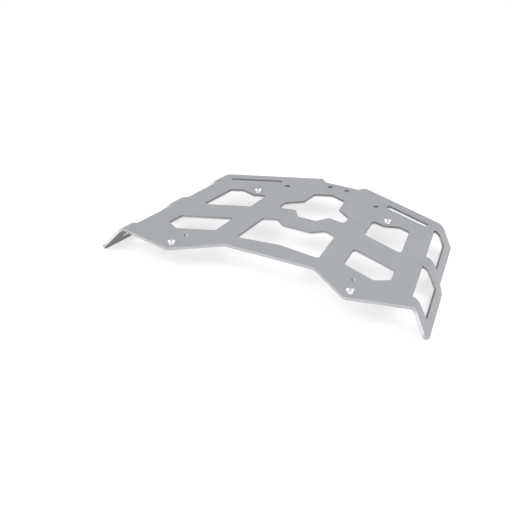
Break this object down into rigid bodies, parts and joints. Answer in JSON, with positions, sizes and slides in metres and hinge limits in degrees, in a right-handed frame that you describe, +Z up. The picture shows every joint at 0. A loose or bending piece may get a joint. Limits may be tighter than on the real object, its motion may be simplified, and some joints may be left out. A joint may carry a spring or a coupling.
{
  "type": "motorcycle luggage rack",
  "caption": "Folded sheet metal luggage rack plate for a motorcycle tail, with cut-out windows, strap slots and countersunk screw holes.",
  "frame": {"origin": "middle of the part's length and width, on the plane its folded sides stand on", "axes": "+X to the rider's right, along the long way of the plate; -Y forward, towards the seat; +Z up, out of the flat top face"},
  "size_m": [0.4294, 0.2614, 0.0311],
  "materials": {
    "sheet": "satin, fine even grain, with brighter cut edges"
  },
  "bodies": {
    "root": {"rack_plate": "sheet"}
  },
  "joints": []
}
